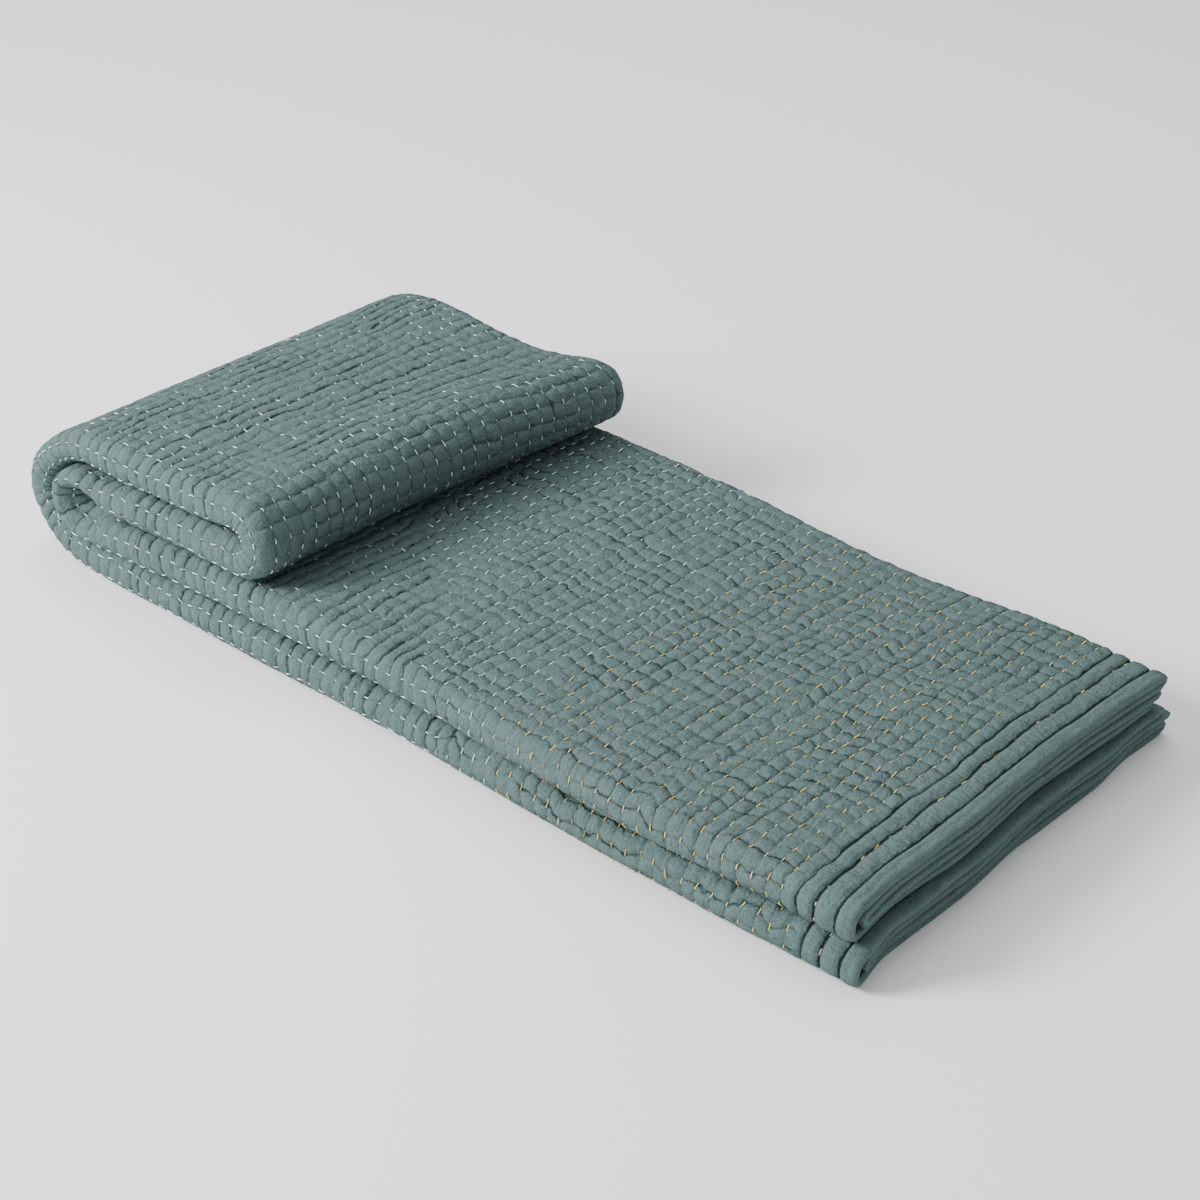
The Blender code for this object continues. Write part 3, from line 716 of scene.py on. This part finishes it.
def stitches_mesh(name, u, v, along_v, stitch_length, stitch_radius, depth):
    """Short bowed threads as one mesh: rings of points around a line that lies on the cloth."""
    random = np.random.default_rng(SEED + 1)
    length = stitch_length * random.uniform(*STITCH_SHARES, len(u))
    length *= np.where(along_v, 1.0, SIDE_STITCH_SHARE)
    slant = random.uniform(-STITCH_SLANT, STITCH_SLANT, len(u))
    direction_u, direction_v = np.where(along_v, slant, 1.0), np.where(along_v, 1.0, slant)
    pulled = np.maximum(stretch(u, v, direction_u, direction_v), MIN_STRETCH)
    length /= np.maximum(pulled, 1.0 / pulled)
    ahead = random.uniform(-STITCH_STRAY, STITCH_STRAY, len(u))
    u, v = u + ahead * direction_u, v + ahead * direction_v
    place, thickness = np.array(STITCH_RINGS).T
    lift = STITCH_RISE - (STITCH_RISE + STITCH_DIP) * (2 * np.abs(place)) ** 3
    sunk = random.uniform(*STITCH_SINK, len(u)) - HEM_SINK * (from_hem(u) < HEM_LINES[-1])
    sunk += PATCH_SINK * drift(PATCH_FIELD, u, v) + NOSE_RISE * around_nose(v)
    sunk -= RIDGE_SINK * (1 - along_v) * (1 - np.minimum(around_nose(v) + around_flap_end(u), 1.0))
    lift = lift + sunk[:, None]
    at_u, at_v = (at[:, None] + (length * way)[:, None] * place
                  for at, way in ((u, direction_u), (v, direction_v)))
    line, above = (outer_surface(at_u, at_v, depth, lift + more) for more in (0.0, 0.001))
    onward = unit(np.gradient(line, axis=1))
    sideways = unit(np.cross(onward, above - line))
    outwards = np.cross(sideways, onward)
    angle = np.arange(STITCH_SIDES) * 2 * np.pi / STITCH_SIDES
    radius = (stitch_radius * thickness)[None, :, None, None]
    line[..., 2] = np.maximum(line[..., 2], stitch_radius * thickness.max())
    points = line[:, :, None] + radius * (sideways[:, :, None] * np.cos(angle)[:, None]
                                          + outwards[:, :, None] * np.sin(angle)[:, None])
    rings = len(STITCH_RINGS)
    number = np.arange(len(u) * rings * STITCH_SIDES).reshape(len(u), rings, STITCH_SIDES)
    onto = np.roll(number, -1, axis=2)
    sides = np.stack([number[:, :-1], number[:, 1:], onto[:, 1:], onto[:, :-1]], axis=-1).reshape(-1)
    start, end = number[:, 0], number[:, -1, ::-1]
    corners = np.concatenate([sides, start.reshape(-1), end.reshape(-1)])
    sizes = np.concatenate([np.full(len(sides) // 4, 4), np.full(2 * len(u), STITCH_SIDES)])
    return mesh_from(name, points.reshape(-1, 3), corners, sizes)


# ---- materials
class Graph:
    """Short names for the nodes of one material. An input takes a constant or another node's output."""

    def __init__(self, name):
        self.material = bpy.data.materials.new(name)
        self.material.use_nodes = True
        self.nodes, self.links = self.material.node_tree.nodes, self.material.node_tree.links
        self.shader = self.nodes["Principled BSDF"]

    def node(self, kind):
        return self.nodes.new("ShaderNode" + kind)

    def put(self, socket, value):
        if isinstance(value, bpy.types.NodeSocket):
            self.links.new(value, socket)
        else:
            socket.default_value = value

    def filled(self, node, *values, **named):
        """A node's first output, once its first inputs and those named have these values."""
        for key, value in (*enumerate(values), *named.items()):
            self.put(node.inputs[key], value)
        return node.outputs[0]

    def math(self, operation, *values, clamp=False):
        node = self.node("Math")
        node.operation, node.use_clamp = operation, clamp
        return self.filled(node, *values)

    def times(self, first, second):
        return self.math("MULTIPLY", first, second)

    def mapped(self, value, low, high, start=0.0, end=1.0):
        """An eased step from start to end as value goes from low to high."""
        node = self.node("MapRange")
        node.interpolation_type = "SMOOTHSTEP"
        return self.filled(node, value, low, high, start, end)

    def mixed(self, factor, first, second):
        """A colour between two."""
        node = self.node("Mix")
        node.data_type = "RGBA"
        for key, value in ((0, factor), (6, first), (7, second)):
            self.put(node.inputs[key], value)
        return node.outputs[2]

    def uv(self, name):
        """The two numbers of a UV map."""
        node = self.node("UVMap")
        node.uv_map = name
        split = self.node("SeparateXYZ")
        self.put(split.inputs[0], node.outputs[0])
        return split.outputs[:2]

    def noise(self, scale, detail=2.0, roughness=0.5, vector=None):
        vector = vector or self.node("TexCoord").outputs["Object"]
        return self.filled(self.node("TexNoise"), Vector=vector, Scale=scale, Detail=detail,
                           Roughness=roughness)

    def combined(self, x, y):
        return self.filled(self.node("CombineXYZ"), x, y)

    def bumped(self, height):
        """The shader's normal from a height in metres."""
        normal = self.filled(self.node("Bump"), Strength=1.0, Distance=1.0, Height=height)
        self.put(self.shader.inputs["Normal"], normal)

    def finished(self, colour, roughness, specular=0.5):
        """The material, with its colour, roughness and specular level set on the shader."""
        self.put(self.shader.inputs["Base Color"], colour)
        self.shader.inputs["Roughness"].default_value = roughness
        self.shader.inputs["Specular IOR Level"].default_value = specular
        return self.material


def linear(colour):
    """Scene colour with its alpha, from a property's colour."""
    return (*colour[:3], 1.0)


def crease_line(graph, number, pitch, depth, scale, calm):
    """A wavy crease at each whole number, times its depth: its thin line, where the cloth is bumped in and
    painted with shade, and its wider valley.

    Where calm is 1 it is nearly straight.
    """
    size = graph.math("MULTIPLY_ADD", calm, -0.35, 0.50)
    wave = graph.times(graph.math("SUBTRACT", graph.noise(scale, 2.0), 0.5), size)
    beside = graph.times(graph.math("PINGPONG", graph.math("ADD", number, wave), 0.5), pitch)
    return [graph.times(graph.mapped(beside, 0.0, width, 1.0, 0.0), depth)
            for width in (CREASE_WIDTH, VALLEY_WIDTH)]


def cotton(settings):
    """Matt washed cotton: thin creases along two crease numbers, with painted shade in their thin lines,
    wrinkles, weave and mottling.

    Wrinkles run along the creases, and beside the hems across the strip, where it is gathered. There is
    no crease at the cloth's own edge, which is smoother too.
    """
    g = Graph("quilted_cotton")
    s, t = g.uv("creases")
    depth_s, depth_t = g.uv("depths")
    from_hems, from_sides = (g.math("MINIMUM", number, g.math("SUBTRACT", float(count), number))
                             for number, count in ((s, COUNT_S), (t, COUNT_T)))
    by_hems = g.mapped(from_hems, 2.8, 3.6, 1.0, 0.0)
    depth_s, depth_t = (g.times(depth, g.mapped(inside, 0.45, 0.60))
                        for depth, inside in ((depth_s, from_hems), (depth_t, from_sides)))
    line_s, valley_s = crease_line(g, s, ROW_PITCH, depth_s, 110.0, by_hems)
    line_t, valley_t = crease_line(g, t, CROSS_PITCH, depth_t, 130.0, 0.0)
    crease = g.math("MAXIMUM", line_s, line_t)
    valley = g.math("MAXIMUM", valley_s, valley_t)
    off_edge = g.mapped(from_hems, 0.2, 1.1, 0.25, 1.0)
    gathered = g.times(off_edge, by_hems)
    along, across = (g.noise(1.0, 3.0, 0.6, g.combined(g.times(s, a), g.times(t, b)))
                     for a, b in ((2.6, 0.9), (0.7, 5.0)))
    lumps = g.noise(105.0, 2.0, 0.5)
    folded = g.math("ABSOLUTE", g.math("SUBTRACT", g.noise(240.0, 3.0, 0.6), 0.5))
    lumpy = g.math("MULTIPLY_ADD", folded, 0.6, lumps)
    height = g.times(crease, -0.0011)
    for relief, size in ((valley, -0.0007),
                         (g.times(lumpy, off_edge), 0.0030),
                         (along, 0.0020),
                         (g.noise(1500.0, 3.0, 0.7), 0.00040),
                         (g.times(across, gathered), 0.0022)):
        height = g.math("MULTIPLY_ADD", relief, size, height)
    g.bumped(height)

    mottled = g.mapped(g.noise(75.0, 5.0, 0.7), 0.38, 0.64)
    colour = g.mixed(mottled, linear(settings.cotton_colour), linear(settings.cotton_pale))
    fleck = g.mapped(g.noise(850.0, 3.0, 0.8), 0.40, 0.64, 0.0, 0.75)
    colour = g.mixed(fleck, colour, linear(settings.cotton_fleck))
    # Painted shade: the creases' thin lines are mixed towards the dark crease shade colour, more in patches
    # and stronger beside the hems.
    shade_patches = g.math("MAXIMUM", g.mapped(g.noise(120.0, 2.0), 0.36, 0.60, 0.40, 1.30),
                     g.times(by_hems, 1.8))
    painted_shade = g.math("MULTIPLY", crease, shade_patches, clamp=True)
    colour = g.mixed(painted_shade, colour, linear(settings.crease_shade))
    return g.finished(colour, 0.95, 0.12)


THREAD_DIM = 0.35  # how bright the dimmest stitches are, as a share


def thread(name, colour):
    """Spun cotton thread, with a faint twist, and dimmer in some stitches than in others."""
    g = Graph(name)
    g.bumped(g.times(g.noise(2400.0, 1.0), 0.0002))
    dim = linear([THREAD_DIM * part for part in colour])
    return g.finished(g.mixed(g.mapped(g.noise(90.0, 2.0), 0.32, 0.54), dim, linear(colour)), 0.40, 0.8)


# ---- pieces and stage
def add_piece(mesh, material):
    """Put a finished mesh in the scene at the origin, on the part's one body."""
    mesh.materials.append(material)
    piece = bpy.data.objects.new(mesh.name, mesh)
    bpy.context.scene.collection.objects.link(piece)
    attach(piece, "root")
    return piece


def add_stage(thing):
    """Put a floor, lamp or camera in the scene as part of the stage."""
    bpy.context.scene.collection.objects.link(thing)
    return thing


def aimed(location, target):
    """A place and the turn that looks from it to a target."""
    back = unit(np.array(location) - target)
    right = unit(np.cross((0.0, 0.0, 1.0), back))
    up = np.cross(back, right)
    turn = np.eye(4)
    turn[:3] = np.column_stack([right, up, back, location])
    return Matrix(turn.tolist())


def softbox(name, location, size, power):
    """A square area lamp, aimed at the quilt's middle."""
    lamp = bpy.data.lights.new(name, "AREA")
    lamp.shape, lamp.size, lamp.energy = "SQUARE", size, power
    thing = bpy.data.objects.new(name, lamp)
    thing.matrix_world = aimed(location, np.zeros(3))
    add_stage(thing)


CAMERA_PLACE = (1.20645922, -1.26744203, 1.07604085)
CAMERA_PITCH, CAMERA_YAW = 30.7085, 42.8783  # degrees down from level, and left of +Y
CAMERA_LENS = 80.2245  # millimetres, on a sensor 36 mm wide
FLOOR_SIZE = 14.0
KEY_PLACE, KEY_SIZE = (-1.5, -2.2, 1.7), 1.2
FILL_PLACE, FILL_SIZE = (-0.4, 0.8, 2.8), 2.2


def add_camera():
    """The camera at the photograph's place."""
    pitch, yaw = math.radians(CAMERA_PITCH), math.radians(CAMERA_YAW)
    forward = np.array([-math.sin(yaw) * math.cos(pitch), math.cos(yaw) * math.cos(pitch), -math.sin(pitch)])
    camera = bpy.data.cameras.new("camera")
    camera.lens = CAMERA_LENS
    thing = add_stage(bpy.data.objects.new("camera", camera))
    thing.matrix_world = aimed(CAMERA_PLACE, np.array(CAMERA_PLACE) + forward)
    bpy.context.scene.camera = thing


METRES = {"subtype": "DISTANCE", "unit": "LENGTH"}
COLOUR = {"subtype": "COLOR", "min": 0.0, "max": 1.0}


class QuiltSettings(bpy.types.PropertyGroup):
    """Sizes and colours of the quilt."""
    puff_depth: bpy.props.FloatProperty(
        name="Puff depth", description="Height of a puff above a deep crease",
        default=PUFF_DEPTH, min=0.0, max=0.004, precision=4, **METRES)
    stitch_length: bpy.props.FloatProperty(
        name="Stitch length", description="Length of the thread that shows in one stitch",
        default=STITCH_LENGTH, min=0.002, max=0.010, precision=4, **METRES)
    stitch_radius: bpy.props.FloatProperty(
        name="Thread radius", description="Radius of the stitching thread",
        default=STITCH_RADIUS, min=0.0001, max=0.001, precision=5, **METRES)
    cotton_colour: bpy.props.FloatVectorProperty(
        name="Cotton", description="Main colour of the cloth",
        default=(0.0625, 0.1025, 0.0998), **COLOUR)
    cotton_pale: bpy.props.FloatVectorProperty(
        name="Faded cotton", description="Colour of the cloth where it has faded",
        default=(0.0772, 0.1240, 0.1204), **COLOUR)
    cotton_fleck: bpy.props.FloatVectorProperty(
        name="Cotton flecks", description="Colour of the pale flecks in the weave",
        default=(0.128, 0.182, 0.178), **COLOUR)
    # Painted shade deep in the creases, mixed into the cloth's colour along their thin lines.
    crease_shade: bpy.props.FloatVectorProperty(
        name="Creases", description="Colour deep in the creases",
        default=(0.012, 0.022, 0.022), **COLOUR)
    white_thread: bpy.props.FloatVectorProperty(
        name="White thread", description="Colour of the stitches in the middle of the quilt",
        default=(0.82, 1.0, 0.985), **COLOUR)
    gold_thread: bpy.props.FloatVectorProperty(
        name="Gold thread", description="Colour of the stitches near the edges of the quilt",
        default=(1.0, 0.72, 0.19), **COLOUR)


class StageSettings(bpy.types.PropertyGroup):
    """Colours and lamps of the stage."""
    floor_colour: bpy.props.FloatVectorProperty(
        name="Floor", description="Colour of the floor and the room's light",
        default=(0.92, 0.92, 0.92), **COLOUR)
    key_power: bpy.props.FloatProperty(
        name="Key lamp", description="Power of the large soft lamp on the left, in watts",
        default=190.0, min=0.0, max=1000.0)
    fill_power: bpy.props.FloatProperty(
        name="Fill lamp", description="Power of the soft lamp above, in watts",
        default=35.0, min=0.0, max=1000.0)
    room_light: bpy.props.FloatProperty(
        name="Room light", description="Strength of the even light all round",
        default=0.76, min=0.0, max=10.0)


class BuildCloth(bpy.types.Operator):
    """Build the quilt's puffed cloth on the folds of its solid"""
    bl_idname = "quilt.build_cloth"
    bl_label = "Build cloth"

    def execute(self, context):
        settings = context.scene.quilt_settings
        cloth = add_piece(cloth_mesh(settings.puff_depth), cotton(settings))
        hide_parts(NODE)
        return {"FINISHED"}


class BuildStitches(bpy.types.Operator):
    """Build the running stitches that show, in white and gold thread"""
    bl_idname = "quilt.build_stitches"
    bl_label = "Build stitches"

    def execute(self, context):
        settings = context.scene.quilt_settings
        u, v, along_v = stitch_places()
        seen = shows(u, v)
        gold = np.minimum(from_hem(u), from_side(v)) < GOLD_DEPTH
        for name, chosen in (("white_thread", seen & ~gold), ("gold_thread", seen & gold)):
            mesh = stitches_mesh(name, u[chosen], v[chosen], along_v[chosen],
                                 settings.stitch_length, settings.stitch_radius, settings.puff_depth)
            add_piece(mesh, thread(name, getattr(settings, name)))
        return {"FINISHED"}


class BuildStage(bpy.types.Operator):
    """Build the plain floor, the soft lamps and the camera"""
    bl_idname = "quilt.build_stage"
    bl_label = "Build stage"

    def execute(self, context):
        settings = context.scene.stage_settings
        half = FLOOR_SIZE / 2
        mesh = bpy.data.meshes.new("floor")
        mesh.from_pydata([(-half, -half, 0), (half, -half, 0), (half, half, 0), (-half, half, 0)], [],
                         [(0, 1, 2, 3)])
        mesh.materials.append(Graph("floor").finished(linear(settings.floor_colour), 0.9))
        add_stage(bpy.data.objects.new("floor", mesh))
        softbox("key", KEY_PLACE, KEY_SIZE, settings.key_power)
        softbox("fill", FILL_PLACE, FILL_SIZE, settings.fill_power)
        world = bpy.data.worlds.new("room")
        world.use_nodes = True
        background = world.node_tree.nodes["Background"]
        background.inputs["Color"].default_value = linear(settings.floor_colour)
        background.inputs["Strength"].default_value = settings.room_light
        context.scene.world = world
        add_camera()
        return {"FINISHED"}


class QuiltPanel(bpy.types.Panel):
    """Settings and build steps of the quilt"""
    bl_idname = "VIEW3D_PT_quilt"
    bl_label = "Quilt"
    bl_space_type = "VIEW_3D"
    bl_region_type = "UI"
    bl_category = "Quilt"

    def draw(self, context):
        for group, operators in ((context.scene.quilt_settings, (BuildCloth, BuildStitches)),
                                 (context.scene.stage_settings, (BuildStage,))):
            for name in group.__annotations__:
                self.layout.prop(group, name)
            for operator in operators:
                self.layout.operator(operator.bl_idname)


CLASSES = (QuiltSettings, StageSettings, BuildCloth, BuildStitches, BuildStage, QuiltPanel)


def register():
    for item in CLASSES:
        bpy.utils.register_class(item)
    bpy.types.Scene.quilt_settings = bpy.props.PointerProperty(type=QuiltSettings)
    bpy.types.Scene.stage_settings = bpy.props.PointerProperty(type=StageSettings)


def unregister():
    del bpy.types.Scene.stage_settings
    del bpy.types.Scene.quilt_settings
    for item in reversed(CLASSES):
        bpy.utils.unregister_class(item)


def main():
    register()
    bpy.ops.quilt.build_cloth()
    bpy.ops.quilt.build_stitches()
    bpy.ops.quilt.build_stage()


if __name__ == "__main__":
    main()
